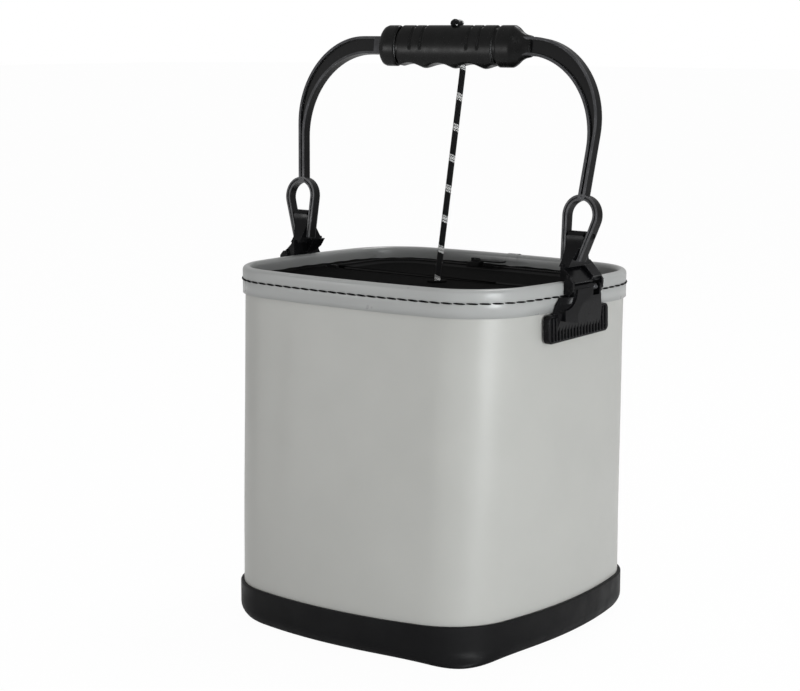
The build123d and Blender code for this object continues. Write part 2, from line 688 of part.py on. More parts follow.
soft_body()
rim()
lid()
eyelet()
zip_slider()
hangers()
bail()
grip()
rope()

os.makedirs("parts", exist_ok=True)
for name, shape in parts.items():
    export_step(shape, f"parts/{name}.step")
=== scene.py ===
"""Looks of the fold-flat fishing bucket: sheet wall, bound rim, net lid with its zip, hangers, grip and rope.

Shapes are worked out in millimetres and put into the meshes in metres.
"""
import json
import math

import bpy
import numpy as np
from mathutils import Matrix, Vector

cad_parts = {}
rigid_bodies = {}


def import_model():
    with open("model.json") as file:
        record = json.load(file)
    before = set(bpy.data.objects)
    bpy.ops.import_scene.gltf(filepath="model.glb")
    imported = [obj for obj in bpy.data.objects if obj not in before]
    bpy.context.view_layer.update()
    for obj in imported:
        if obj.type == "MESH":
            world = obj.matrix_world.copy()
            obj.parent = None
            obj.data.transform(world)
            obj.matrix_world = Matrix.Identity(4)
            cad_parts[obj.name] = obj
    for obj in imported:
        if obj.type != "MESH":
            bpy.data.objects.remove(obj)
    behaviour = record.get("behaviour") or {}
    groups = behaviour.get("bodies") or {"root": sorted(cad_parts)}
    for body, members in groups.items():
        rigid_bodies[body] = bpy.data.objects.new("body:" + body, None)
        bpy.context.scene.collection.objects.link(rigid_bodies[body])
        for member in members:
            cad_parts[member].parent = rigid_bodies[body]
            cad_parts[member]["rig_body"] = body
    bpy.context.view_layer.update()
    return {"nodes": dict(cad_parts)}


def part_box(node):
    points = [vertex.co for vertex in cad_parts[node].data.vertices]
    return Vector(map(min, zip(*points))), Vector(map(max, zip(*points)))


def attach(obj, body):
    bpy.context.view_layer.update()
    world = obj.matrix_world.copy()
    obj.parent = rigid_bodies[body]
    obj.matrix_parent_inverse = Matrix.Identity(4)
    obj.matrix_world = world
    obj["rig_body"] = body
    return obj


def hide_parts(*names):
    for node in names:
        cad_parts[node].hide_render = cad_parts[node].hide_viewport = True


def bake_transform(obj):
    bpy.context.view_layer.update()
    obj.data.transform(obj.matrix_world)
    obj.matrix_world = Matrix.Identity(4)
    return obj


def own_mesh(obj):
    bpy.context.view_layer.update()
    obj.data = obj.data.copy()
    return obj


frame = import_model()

MM = 0.001
nodes = frame["nodes"]

# Sizes shared with the solid model
boot_half, boot_radius, boot_bow, boot_height = (96.0, 97.0), 43.0, 13.0, 22.0
boot_round, boot_skin, boot_floor, board_t, liner_t = 9.0, 2.0, 3.0, 2.5, 1.0
rim_half, rim_radius, rim_bow, rim_top = (100.0, 81.0), 40.0, 7.0, 201.4
hem_low, hem_t, rim_t, inner_hem = 186.0, 1.2, 5.0, 8.0
wall_low, wall_top, wall_t, slack = 12.0, 197.9, 1.7, 0.3
twist = math.radians(3.0)
stitch_z = 194.0
lid_z, lid_t = 192.0, 1.2
lid_top = lid_z + lid_t
flap_y = 12.0
zip_x, zip_y, zip_radius = 83.0, 65.5, 27.0
pivot_z, lean = 225.0, math.radians(7.0)
grip_h, grip_a, grip_b = 100.8, 6.3, 11.7
barrel_mid, barrel_half, collar_start = 1.5, 33.6, 35.6
wave_pitch, wave_shift, wave_depth, wave_r, wave_ridge = 21.4, 7.0, 2.6, 17.0, 1.0
rope_r, rope_low = 1.75, lid_z - 4
rope_exit_x, rope_lid_x, knot_x = 12.4, 5.9, 5.2
coil_inner, coil_pitch, coil_rise, coil_layers, coil_halves = 19.5, 4.15, 4.05, 4, 11
side_steps, corner_steps = 22, 16

# Sizes of details that only the looks have
foot_half, foot_radius, foot_bow, foot_round = (90.0, 93.0), 27.0, 3.0, 3.0
front_corner, corner_reach = math.radians(-43.0), 0.3
lip_round = 0.6
stitch_pitch, stitch_gap, stitch_wide, stitch_high, stitch_groove = 6.8, 0.8, 0.9, 1.05, 1.2
lap_start, lap_end, lap_swell = -3.5, 4.5, 0.35
tape_near, tape_far, tooth_pitch, tooth_out, tooth_up = 0.5, 8.3, 1.7, 0.85, 1.05
groove_places, groove_wide, groove_depth = (16.6, 24.2), 0.85, 0.11
channel_floor, channel_rib = 2.05, 2.7
tracer_gap, tracer_length, tracer_pair = 8.6, 3.9, 1.9

# Shallow dents of the wall's front: place across, height, half width, half height and depth
wall_dents = ((25.8, 158.0, 19.0, 30.0, 1.0), (-45.0, 120.0, 6.0, 60.0, 0.5), (66.0, 110.0, 8.0, 60.0, -0.5))


# Mesh helpers


def put_in_scene(name, data):
    """A new object at the origin."""
    thing = bpy.data.objects.new(name, data)
    bpy.context.scene.collection.objects.link(thing)
    return thing


def link(name, mesh, material, body):
    """Puts a finished mesh into the scene as a smooth piece that rides on a body."""
    piece = put_in_scene(name, mesh)
    mesh.materials.append(material)
    mesh.shade_smooth()
    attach(piece, body)
    return piece


def read(items, key, width=1, kind=float):
    """One value, or a group of them, from every item of a mesh."""
    values = np.zeros(len(items) * width, kind)
    items.foreach_get(key, values)
    return values.reshape(-1, width) if width > 1 else values


def build_mesh(name, points, faces, uv=None):
    """Mesh from points in millimetres and lists of point numbers, with one UV pair a point."""
    mesh = bpy.data.meshes.new(name)
    mesh.from_pydata((np.asarray(points).reshape(-1, 3) * MM).tolist(), [], faces)
    if uv is not None:
        layer = mesh.uv_layers.new(name="surface")
        corner = read(mesh.loops, "vertex_index", kind=np.int32)
        layer.data.foreach_set("uv", np.asarray(uv, float).reshape(-1, 2)[corner].ravel())
    mesh.validate()
    return mesh


def grid_faces(rows, columns, loop=False, rings=False):
    """Quads of a grid of points: rings close each row, and a loop joins the last row to the first."""
    i = np.arange(rows if loop else rows - 1)[:, None]
    j = np.arange(columns if rings else columns - 1)[None, :]
    i, j = np.broadcast_arrays(i, j)
    k, m = (i + 1) % rows, (j + 1) % columns
    quads = np.stack([i * columns + j, i * columns + m, k * columns + m, k * columns + j], -1)
    return quads.reshape(-1, 4)


def capped_faces(rows, columns, flip=False):
    """Faces of rings in a row, closed by a fan at each end to one of two points that follow the rings.
    Flip turns the faces between the rings over, and leaves the fans."""
    count = rows * columns
    first = np.arange(columns)
    last = count - columns + first
    start = np.stack([np.full(columns, count), np.roll(first, -1), first], 1)
    end = np.stack([np.full(columns, count + 1), last, np.roll(last, -1)], 1)
    between_rings = grid_faces(rows, columns, rings=True)
    if flip:
        between_rings = between_rings[:, ::-1]
    return between_rings.tolist() + start.tolist() + end.tolist()


def surface(name, points, material, body, loop=False, rings=False, flip=False, uv=None):
    """Piece from a grid of points, shaped (rows, columns, 3)."""
    rows, columns = points.shape[:2]
    faces = grid_faces(rows, columns, loop, rings)
    if flip:
        faces = faces[:, ::-1]
    return link(name, build_mesh(name, points, faces.tolist(), uv), material, body)


def scattered(name, shape, faces, places, turns, material, body):
    """One mesh of many copies of a small shape: each is turned by its own matrix and moved to its place."""
    points = np.einsum("nij,pj->npi", turns, shape) + places[:, None, :]
    all_faces = faces[None] + (np.arange(len(places)) * len(shape))[:, None, None]
    return link(name, build_mesh(name, points, all_faces.reshape(-1, 4).tolist()), material, body)


def apply_modifiers(piece):
    """Makes the modifiers' result the piece's own mesh."""
    graph = bpy.context.evaluated_depsgraph_get()
    mesh = bpy.data.meshes.new_from_object(piece.evaluated_get(graph))
    piece.modifiers.clear()
    piece.data = mesh


def modify(piece, kind, **settings):
    """Adds a modifier with its settings."""
    modifier = piece.modifiers.new(kind.lower(), kind)
    for key, value in settings.items():
        setattr(modifier, key, value)


def thicken(piece, thickness):
    """Gives a sheet its thickness, inwards from the drawn face."""
    modify(piece, "SOLIDIFY", thickness=thickness * MM, offset=-1.0)
    apply_modifiers(piece)


def circle(count):
    """Angles of evenly spaced points round a circle."""
    return np.linspace(0, 2 * np.pi, count, endpoint=False)


def run_along(line):
    """Distance along a line of points to each of them."""
    return np.concatenate([[0], np.cumsum(np.linalg.norm(np.diff(line, axis=0), axis=1))])


def read_at(at, run, line):
    """Points of a line at distances along it, between its own points in proportion."""
    return np.stack([np.interp(at, run, line[:, k]) for k in range(line.shape[1])], 1)


def tube_points(line, radius, sides):
    """Tube round a line: a frame is carried along the line, and a circle is drawn in it at each point."""
    way = np.gradient(line, axis=0)
    way /= np.linalg.norm(way, axis=1)[:, None]
    side = np.zeros_like(line)
    start = np.array([0.0, 0.0, 1.0]) if abs(way[0, 2]) < 0.9 else np.array([1.0, 0.0, 0.0])
    side[0] = np.cross(way[0], start)
    side[0] /= np.linalg.norm(side[0])
    for i in range(1, len(line)):
        side[i] = side[i - 1] - way[i] * (side[i - 1] @ way[i])
        side[i] /= np.linalg.norm(side[i])
    across = np.cross(way, side)
    a = circle(sides)[None, :, None]
    return line[:, None] + (side[:, None] * np.cos(a) + across[:, None] * np.sin(a)) * radius


def capped_tube(name, line, radius, material, body, sides=12):
    """Tube with both ends closed by a fan to the end's middle, and with length and turn in its UV map."""
    n = len(line)
    points = np.vstack([tube_points(line, radius, sides).reshape(-1, 3), line[:1], line[-1:]])
    run = run_along(line)
    around = np.broadcast_to(np.arange(sides) / sides, (n, sides))
    along = np.broadcast_to(run[:, None], (n, sides))
    uv = np.vstack([np.stack([along, around], -1).reshape(-1, 2), [[0, 0], [run[-1], 0]]])
    mesh = build_mesh(name, points, capped_faces(n, sides, flip=True), uv)
    mend_wrap(mesh)
    return link(name, mesh, material, body)


def mend_wrap(mesh):
    """Lets a tube's last strip run on to a full turn in its UV map: low turns beside high ones gain one."""
    layer = mesh.uv_layers["surface"].data
    uv = read(layer, "uv", 2)
    total = read(mesh.polygons, "loop_total", kind=np.int32)
    owner = np.repeat(np.arange(len(total)), total)
    high = np.zeros(len(total))
    np.maximum.at(high, owner, uv[:, 1])
    uv[:, 1] += (high[owner] > 0.7) & (uv[:, 1] < 0.3)
    layer.foreach_set("uv", uv.ravel())


# Outlines


def outline(half, radius, bow):
    """Points and outward directions round a rounded rectangle with bowed sides.

    Every side and corner is an arc, and the outward direction turns steadily through its angle.
    """
    x, y = half
    cx, cy = x - bow, y - bow
    long_r, side_r = (cx * cx + bow * bow) / (2 * bow), (cy * cy + bow * bow) / (2 * bow)
    top_c, right_c = np.array([0, y - long_r]), np.array([x - side_r, 0])
    a, b = long_r - radius, side_r - radius
    gap = right_c - top_c
    d = np.linalg.norm(gap)
    along = (a * a - b * b + d * d) / (2 * d)
    height = math.sqrt(a * a - along * along)
    unit = gap / d
    corners = [top_c + unit * along + s * height * np.array([-unit[1], unit[0]]) for s in (-1, 1)]
    corner = max(corners, key=lambda c: c[0] + c[1])
    low = math.atan2(*(corner - right_c)[::-1])
    high = math.atan2(*(corner - top_c)[::-1])
    quarter = [
        (right_c, side_r, 0, low, side_steps // 2),
        (corner, radius, low, high, corner_steps),
        (top_c, long_r, high, np.pi / 2, side_steps // 2),
    ]
    points, ways = [], []
    for centre, r, start, stop, steps in quarter:
        angle = np.linspace(start, stop, steps, endpoint=False)
        ways.append(np.stack([np.cos(angle), np.sin(angle)], 1))
        points.append(centre + r * ways[-1])
    points, ways = np.vstack(points + [[[0, y]]]), np.vstack(ways + [[[0, 1]]])
    quarters = ((1, (1, 1)), (-1, (-1, 1)), (1, (-1, -1)), (-1, (1, -1)))
    return [np.vstack([line[::step][:-1] * mirror for step, mirror in quarters]) for line in (points, ways)]


def turned_by(ring, angle):
    """Points or directions in the plane, turned counter-clockwise."""
    c, s = math.cos(angle), math.sin(angle)
    return ring @ np.array([[c, s], [-s, c]])


boot_ring, boot_way = (turned_by(r, twist) for r in outline(boot_half, boot_radius, boot_bow))
foot_ring = turned_by(outline(foot_half, foot_radius, foot_bow)[0], twist)
rim_ring, rim_way = outline(rim_half, rim_radius, rim_bow)


def at_heights(flat, z):
    """Rows of points in plan, each row at its own height."""
    return np.concatenate([flat, np.broadcast_to(z[:, None, None], flat.shape[:2] + (1,))], -1)


def swept_profile(ring, way, inset, z):
    """Grid of a profile carried round an outline: rings drawn in by the profile's insets, at its heights."""
    return at_heights(ring[None] - way[None] * inset[:, None, None], z)


def wall_at(z):
    """The wall's outer face at heights: straight from the boot's ring to the rim's, and upright above it."""
    share = np.clip((z - boot_height) / (hem_low - boot_height), 0, 1)[:, None, None]
    low = (boot_ring - boot_way * boot_skin)[None]
    high = (rim_ring - rim_way * (hem_t + slack))[None]
    return at_heights(low * (1 - share) + high * share, z)


def ring_length(ring):
    """Distance along a closed ring to each of its points, and its whole length."""
    steps = np.linalg.norm(np.roll(ring, -1, 0) - ring, axis=1)
    return np.concatenate([[0], np.cumsum(steps)[:-1]]), steps.sum()


rim_run, rim_length = ring_length(rim_ring)


def along_ring(ring, way, places):
    """Points and outward directions at distances along a closed ring."""
    run, whole = ring_length(ring)
    run = np.append(run, whole)
    at = places % whole
    spots, facing = (read_at(at, run, np.vstack([line, line[:1]])) for line in (ring, way))
    return spots, facing / np.linalg.norm(facing, axis=1)[:, None]


def leaning(points):
    """Turns points of the upright bail's plane, measured over the pivot, back to the lean at rest."""
    x, y, h = points[..., 0], points[..., 1], points[..., 2]
    c, s = math.cos(lean), math.sin(lean)
    return np.stack([x, y * c + h * s, pivot_z - y * s + h * c], -1)


# Material helpers


def grey(tone):
    return tone, tone, tone


class Nodes:
    """A material's nodes, added by kind and joined by name."""

    def __init__(self, name, colour, roughness, specular=0.5):
        self.material = bpy.data.materials.new(name)
        self.material.use_nodes = True
        self.tree = self.material.node_tree
        self.shader = self.tree.nodes["Principled BSDF"]
        self.colour = colour
        self.set(Base_Color=(*colour, 1), Roughness=roughness, Specular_IOR_Level=specular)

    def set(self, **values):
        """Sets sockets of the shader: an underscore stands for a space in their names."""
        for key, value in values.items():
            self.shader.inputs[key.replace("_", " ")].default_value = value

    def add(self, kind, **values):
        """A new node: a value goes to its setting of that name, or else to its socket."""
        node = self.tree.nodes.new("ShaderNode" + kind)
        for key, value in values.items():
            if hasattr(node, key):
                setattr(node, key, value)
            else:
                node.inputs[key.replace("_", " ")].default_value = value
        return node

    def feed(self, value, target):
        """Joins another node's socket to a socket, or sets the socket to a plain value."""
        if isinstance(value, bpy.types.NodeSocket):
            self.tree.links.new(value, target)
        else:
            target.default_value = value

    def calc(self, operation, first, second=0.0):
        node = self.add("Math", operation=operation)
        self.feed(first, node.inputs[0])
        self.feed(second, node.inputs[1])
        return node.outputs[0]

    def where(self, size, stretch=(1, 1, 1)):
        """The place on the object, in units of a size given in millimetres."""
        units = self.add("Mapping", Scale=[1 / (size * s * MM) for s in stretch])
        self.feed(self.add("TexCoord").outputs["Object"], units.inputs["Vector"])
        return units.outputs["Vector"]

    def noise(self, size, detail, stretch=(1, 1, 1)):
        cloud = self.add("TexNoise", Scale=1.0, Detail=detail)
        self.feed(self.where(size, stretch), cloud.inputs["Vector"])
        return cloud.outputs["Fac"]

    def surface_uv(self):
        """The two parts of the piece's own UV map: millimetres along it, and turns or millimetres across."""
        parts = self.add("SeparateXYZ")
        self.feed(self.add("UVMap", uv_map="surface").outputs["UV"], parts.inputs["Vector"])
        return parts.outputs["X"], parts.outputs["Y"]

    def ramp(self, value, low, high, out_low, out_high):
        """Carries a value from one range into another."""
        fit = self.add("MapRange", From_Min=low, From_Max=high, To_Min=out_low, To_Max=out_high)
        self.feed(value, fit.inputs["Value"])
        return fit.outputs["Result"]

    def shade(self, share, other, base=None):
        """Colours the surface between a base, its own colour if none is given, and another one by a share."""
        mix = self.add("Mix", data_type="RGBA")
        self.feed(share, mix.inputs["Factor"])
        self.feed((*self.colour, 1) if base is None else base, mix.inputs[6])
        self.feed((*other, 1), mix.inputs[7])
        self.feed(mix.outputs[2], self.shader.inputs["Base Color"])
        return mix.outputs[2]

    def mottle(self, size, detail, low, high, other):
        """Clouds of another colour, where a noise is high."""
        return self.shade(self.ramp(self.noise(size, detail), low, high, 0, 1), other)

    def rub(self, size, detail, least, most, stretch=(1, 1, 1)):
        """Clouds of roughness between two values."""
        fit = self.ramp(self.noise(size, detail, stretch), 0.3, 0.7, least, most)
        self.feed(fit, self.shader.inputs["Roughness"])

    def bump(self, value, depth, strength):
        """Gives the surface relief of a depth in millimetres."""
        relief = self.add("Bump", Strength=strength, Distance=depth * MM)
        self.feed(value, relief.inputs["Height"])
        self.feed(relief.outputs["Normal"], self.shader.inputs["Normal"])


def coated_sheet(name, colour, roughness, grain, back=None):
    """Satin coated cloth: faint cloudy tone, a fine weave under the coat and soft rubbed patches.

    On folded tape, whose UV map holds the inset from the rim's outer face, the inner side of the fold is
    painted darker as painted shade.
    """
    m = Nodes(name, colour, roughness, 0.42)
    m.set(Coat_Weight=0.08, Coat_Roughness=0.3)
    tone = m.mottle(42, 4, 0.35, 0.65, [c * 0.965 for c in colour])
    if back:
        # back: the darker colour painted on the fold's inner side, a painted shade.
        _, inset = m.surface_uv()
        m.shade(m.ramp(inset, 2.8, 4.2, 0, 1), back, tone)
    m.rub(16, 3, roughness - 0.03, roughness + 0.05)
    m.bump(m.noise(grain, 2), 0.03, 0.3)
    return m.material


def moulded_foam():
    """Black moulded foam of the boot: even fine grain and faint cloudy scuffs."""
    m = Nodes("boot_foam", (0.0065, 0.0065, 0.007), 0.42, 0.09)
    m.mottle(24, 5, 0.4, 0.75, (0.009, 0.009, 0.0095))
    m.rub(9, 5, 0.36, 0.5)
    m.bump(m.noise(0.7, 3), 0.08, 0.5)
    return m.material


def moulded_plastic(name, roughness=0.3, colour=(0.004, 0.004, 0.0045), shine=0.13):
    """Black moulded plastic or thread: satin skin with faint cloudy flow marks."""
    m = Nodes(name, colour, roughness, shine)
    m.mottle(8, 4, 0.45, 0.8, [c * 1.7 for c in colour])
    m.rub(5, 4, roughness - 0.05, roughness + 0.1)
    m.bump(m.noise(1.2, 2), 0.02, 0.3)
    return m.material


def painted_edge_highlight():
    """Edges of the black mouldings, painted paler and glossier: a painted highlight, uneven in tone."""
    m = Nodes("painted_edge_highlight", (0.05, 0.05, 0.052), 0.2, 0.3)
    m.mottle(5, 4, 0.35, 0.65, (0.14, 0.14, 0.145))
    m.rub(3, 4, 0.16, 0.3)
    return m.material


def channelled_plastic():
    """Bail's plastic: its raised edges carry a painted highlight, paler and glossier than the channels
    between them.

    The edges are told by their distance from the bail's own plane, which leans back from the pivots.
    """
    m = Nodes("bail_plastic", (0.003, 0.003, 0.0033), 0.3, 0.16)
    across = m.add("VectorMath", operation="DOT_PRODUCT")
    across.inputs[1].default_value = (0, math.cos(lean), -math.sin(lean))
    m.feed(m.add("TexCoord").outputs["Object"], across.inputs[0])
    off = m.calc("ABSOLUTE", m.calc("ADD", across.outputs["Value"], pivot_z * MM * math.sin(lean)))
    raised = m.ramp(off, channel_floor * MM, channel_rib * MM, 0, 1)
    # Painted highlight: the raised edges get a paler colour and lower roughness, unevenly through a noise.
    rib_highlight = m.calc("MULTIPLY", raised, m.ramp(m.noise(7, 4), 0.35, 0.65, 0.55, 1))
    m.shade(rib_highlight, (0.07, 0.07, 0.074))
    m.feed(m.ramp(rib_highlight, 0, 1, 0.34, 0.18), m.shader.inputs["Roughness"])
    m.bump(m.noise(1.2, 2), 0.02, 0.3)
    return m.material


def soft_grip():
    """Rubbery grip: softer gloss than the frame, with a fine even grain."""
    m = Nodes("grip_rubber", grey(0.004), 0.28, 0.17)
    m.mottle(6, 4, 0.4, 0.8, grey(0.007))
    m.rub(4, 4, 0.24, 0.34)
    m.bump(m.noise(0.5, 2), 0.03, 0.4)
    return m.material


def net_cloth():
    """Black net: round holes in staggered rows, drawn as pits painted darker than the cords between them:
    painted shade.
    """
    m = Nodes("lid_net", grey(0.004), 0.85, 0.01)
    cells = m.add("TexVoronoi", Scale=1.0, Randomness=0.12)
    m.feed(m.where(1.5), cells.inputs["Vector"])
    # Darker colour in the holes: painted shade.
    m.shade(m.ramp(cells.outputs["Distance"], 0.2, 0.42, 1, 0), grey(0.001))
    m.bump(m.ramp(cells.outputs["Distance"], 0.15, 0.5, 0, 1), 0.3, 0.8)
    return m.material


def woven_tape():
    """Black woven tape: fine slanting ribs."""
    m = Nodes("zip_tape", grey(0.005), 0.8, 0.03)
    rib = m.add("TexWave", bands_direction="DIAGONAL", Scale=1.0, Distortion=0.6)
    m.feed(m.where(2.0), rib.inputs["Vector"])
    m.shade(rib.outputs["Fac"], grey(0.011))
    m.bump(rib.outputs["Fac"], 0.15, 0.7)
    return m.material


def oiled_steel():
    """Spring wire: dark, oiled steel, lightly brushed."""
    m = Nodes("spring_steel", (0.12, 0.12, 0.125), 0.35)
    m.set(Metallic=1.0)
    m.mottle(2, 4, 0.4, 0.7, (0.07, 0.07, 0.075))
    m.rub(1.5, 4, 0.3, 0.45, (1, 1, 8))
    return m.material


def black_enamel(name, tone):
    """Enamelled or blackened metal, worn to a duller tone in places."""
    m = Nodes(name, grey(tone), 0.28, 0.04)
    m.mottle(1.5, 4, 0.5, 0.8, grey(2.2 * tone))
    m.rub(1.0, 4, 0.35, 0.55)
    return m.material


def braided_rope():
    """Black braid with pairs of white tracer flecks."""
    m = Nodes("rope_braid", (0.006, 0.006, 0.0065), 0.6, 0.15)
    along, around = m.surface_uv()
    strands, lay = 8, 6.0

    def slanted(slant):
        return m.calc("ADD", along, m.calc("MULTIPLY", around, slant))

    run = m.calc("MULTIPLY", along, strands * 2 * math.pi / (2 * lay))
    turned = [m.calc("MULTIPLY", around, way * strands * 2 * math.pi) for way in (1, -1)]
    strand = m.calc("MAXIMUM", *(m.calc("SINE", m.calc("ADD", turn, run)) for turn in turned))
    side = m.calc("ADD", around, m.calc("MULTIPLY", along, 0.5 / tracer_gap))
    fleck = m.calc("LESS_THAN", m.calc("PINGPONG", slanted(3.2), tracer_gap / 2), tracer_length / 2)
    for other in (
        m.calc("LESS_THAN", m.calc("PINGPONG", side, 0.5), 0.24),
        m.calc("GREATER_THAN", strand, 0.1),
        m.calc("GREATER_THAN", m.calc("PINGPONG", slanted(2.4), tracer_pair / 2), 0.17),
    ):
        fleck = m.calc("MULTIPLY", fleck, other)
    m.shade(fleck, (0.75, 0.75, 0.74))
    m.bump(strand, 0.3, 0.9)
    return m.material


wall_cloth = coated_sheet("wall_sheet", (0.42, 0.42, 0.4), 0.38, 0.8)
# The tape's inner side gets a darker colour: painted shade, not a different cloth.
binding_cloth = coated_sheet("rim_tape", (0.345, 0.35, 0.345), 0.3, 0.8, back=(0.22, 0.223, 0.22))
liner_cloth = coated_sheet("floor_sheet", (0.33, 0.33, 0.32), 0.5, 0.8)
board_plastic = coated_sheet("floor_board", grey(0.2), 0.55, 1.6)
foam = moulded_foam()
hard_plastic = moulded_plastic("frame_plastic", 0.2)
bail_plastic = channelled_plastic()
# Paler, glossier colour for the rounded edges of the hangers, jaws and bail: a painted highlight.
edge_highlight_finish = painted_edge_highlight()
zip_plastic = moulded_plastic("zip_plastic", 0.4, grey(0.006), 0.08)
thread = moulded_plastic("stitch_thread", 0.6, grey(0.004), 0.05)
matte_plastic = moulded_plastic("eyelet_plastic", 0.75, grey(0.003), 0.01)
grip_rubber = soft_grip()
net = net_cloth()
tape = woven_tape()
steel = oiled_steel()
enamel = black_enamel("zip_enamel", 0.01)
dark_pin = black_enamel("blackened_pin", 0.008)
braid = braided_rope()


# Soft body


def make_wall():
    """Wall tube: the ring of each height, eased in and out by a few long, shallow waves and dents."""
    z = np.concatenate([np.linspace(wall_low, boot_height, 4)[:-1], np.linspace(boot_height, hem_low, 50),
                        np.linspace(hem_low, wall_top, 4)[1:]])
    points = wall_at(z)
    x, y, up = points[..., 0], points[..., 1], z[:, None]
    angle = np.arctan2(y, x)
    free = np.clip((up - boot_height) / 30, 0, 1) * np.clip((hem_low - up) / 25, 0, 1)
    wave = np.sin(3 * angle + up / 46) + 0.6 * np.sin(7 * angle - up / 31 + 1.3)
    dent = sum(depth * np.exp(-((x - at_x) / wide) ** 2 - ((up - at_z) / tall) ** 2)
               for at_x, at_z, wide, tall, depth in wall_dents) * (y < -40)
    way = points[..., :2] / np.linalg.norm(points[..., :2], axis=-1)[..., None]
    points[..., :2] += way * ((0.22 * wave - dent) * free)[..., None]
    piece = surface("wall_sheet", points, wall_cloth, "base", rings=True)
    thicken(piece, wall_t)
    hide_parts("wall")
    fold_with_collapse(piece)


def fold_with_collapse(piece):
    """Gives the piece its own copy of its mesh."""
    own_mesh(piece)


def solid_box(node):
    """Low and high corners of a solid part's box, in millimetres."""
    return (np.array(corner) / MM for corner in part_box(node))


def make_seam_strip():
    """Welded strip over the wall's seam at the back, with thinned edges."""
    low, high = solid_box("wall_seam_strip")
    z = np.linspace(low[2], high[2], 40)
    x = np.linspace(low[0], high[0], 15)
    edge = np.clip((x - x[0]) * (x[-1] - x) / 8, 0, 1)
    points = []
    for height, ring in zip(z, wall_at(z)):
        back = ring[ring[:, 1] > 40]
        order = np.argsort(back[:, 0])
        y = np.interp(x, back[order, 0], back[order, 1]) + 0.15 + 0.55 * edge
        points.append(np.stack([x, y, np.full(x.shape, height)], -1))
    piece = surface("seam_strip", np.array(points), wall_cloth, "base", flip=True)
    thicken(piece, 0.4)
    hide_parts("wall_seam_strip")
    fold_with_collapse(piece)


def make_boot():
    """Boot: one closed profile carried round its ring, with a softened lip.

    The foot swells out to the boot's ring as a parabola does to its top, and is squarer at the front corner.
    """
    bend = np.linspace(0, np.pi / 2, 9)
    toward = np.arctan2(boot_ring[:, 1], boot_ring[:, 0]) - front_corner
    square = np.exp(-((toward / corner_reach) ** 2))[:, None]
    low_ring = (boot_ring - boot_way * (boot_round - foot_round)) * (1 - square) + foot_ring * square
    z = np.append(foot_round * (1 - np.cos(bend)), [4.5, 6.0, 7.5])
    inset = boot_way * np.append(foot_round * (1 - np.sin(bend)), np.zeros(3))[:, None, None]
    share = (1 - (1 - z / boot_round) ** 2)[:, None, None]
    foot = at_heights((low_ring - inset) * (1 - share) + (boot_ring - inset) * share, z)
    rise = [(0.0, z) for z in (boot_round, 12.0, 16.0, 20.0, boot_height - lip_round)]
    lip = [(lip_round * (1 - math.cos(a)), boot_height - lip_round * (1 - math.sin(a))) for a in bend[1::2]]
    inner = [(boot_skin - 0.02, boot_height), (boot_skin - 0.02, 12.0)]
    bowl_r = boot_round - boot_skin
    bowl = [(boot_skin + bowl_r * (1 - math.cos(a)), boot_floor + bowl_r * (1 - math.sin(a))) for a in bend]
    profile = np.array(rise + lip + inner + bowl)
    rings = np.vstack([foot, swept_profile(boot_ring, boot_way, profile[:, 0], profile[:, 1])])
    points = np.vstack([rings.reshape(-1, 3), [[0, 0, 0], [0, 0, boot_floor]]])
    mesh = build_mesh("boot_moulding", points, capped_faces(*rings.shape[:2]))
    piece = link("boot_moulding", mesh, foam, "base")
    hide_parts("boot")


def make_floor_liner():
    """Liner on the floor board: rings shrunk to its middle, with shallow waves."""
    low, high = solid_box("floor_liner")
    ring = boot_ring - boot_way * (boot_ring[:, 0].max() - high[0])
    flat = ring[None] * np.linspace(1, 0.02, 26)[:, None, None]
    wave = 0.12 * np.sin(flat[..., 0] / 13) * np.sin(flat[..., 1] / 17 + 0.6) - 0.12
    points = np.concatenate([flat, high[2] + wave[..., None]], -1)
    middle = np.broadcast_to([0, 0, high[2] - 0.12], (1, len(ring), 3))
    piece = surface("floor_sheet", np.concatenate([points, middle]), liner_cloth, "base", rings=True)
    thicken(piece, high[2] - low[2] - 0.3)
    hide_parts("floor_liner")


# Rim


def binding_profile(swell=0.0):
    """Section of the folded tape: insets and heights of its outer flap, round fold and inner flap."""
    fold = np.linspace(0, np.pi, 13)
    t, middle, r, top = hem_t, rim_t / 2, rim_t / 2 + swell, rim_top - rim_t / 2
    below, above, inner_low = stitch_z - stitch_groove, stitch_z + stitch_groove, rim_top - inner_hem
    outer = [(-swell, hem_low), (-swell, below), (0.22 - swell, stitch_z), (-swell, above)]
    bend = [(middle - r * math.cos(a), top + (rim_top - top + swell) * math.sin(a)) for a in fold]
    inner = [(rim_t + swell, above), (rim_t - 0.2 + swell, stitch_z), (rim_t + swell, inner_low)]
    back = [(rim_t - t, inner_low), (rim_t - t, top)]
    under = [(middle + (middle - t) * math.cos(a), top + (rim_top - t - top) * math.sin(a))
             for a in fold[1:-1]]
    return np.array(outer + bend + inner + back + under + [(t, top), (t, hem_low)])


def tape_uv(run, profile):
    """UV pairs of the folded tape: the run round the rim, and the inset from its outer face."""
    return np.stack(np.broadcast_arrays(run[None], profile[:, :1]), -1)


def make_binding():
    """Rim binding: the tape's section carried round the rim, with a faint pucker at the stitches."""
    profile = binding_profile()
    run = np.linspace(0, rim_length, 520, endpoint=False)
    ring, way = along_ring(rim_ring, rim_way, run)
    points = swept_profile(ring, way, profile[:, 0], profile[:, 1])
    pucker = 0.10 * np.sin(run / 13.0) + 0.06 * np.sin(run / 5.1 + 1.0)
    low = np.clip((rim_top - 3 - points[..., 2]) / 8, 0, 1)
    points[..., :2] += way[None] * (pucker[None] * low)[..., None]
    piece = surface("rim_tape", points, binding_cloth, "rim", loop=True, rings=True, flip=True,
                    uv=tape_uv(run, profile))
    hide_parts("rim_binding")


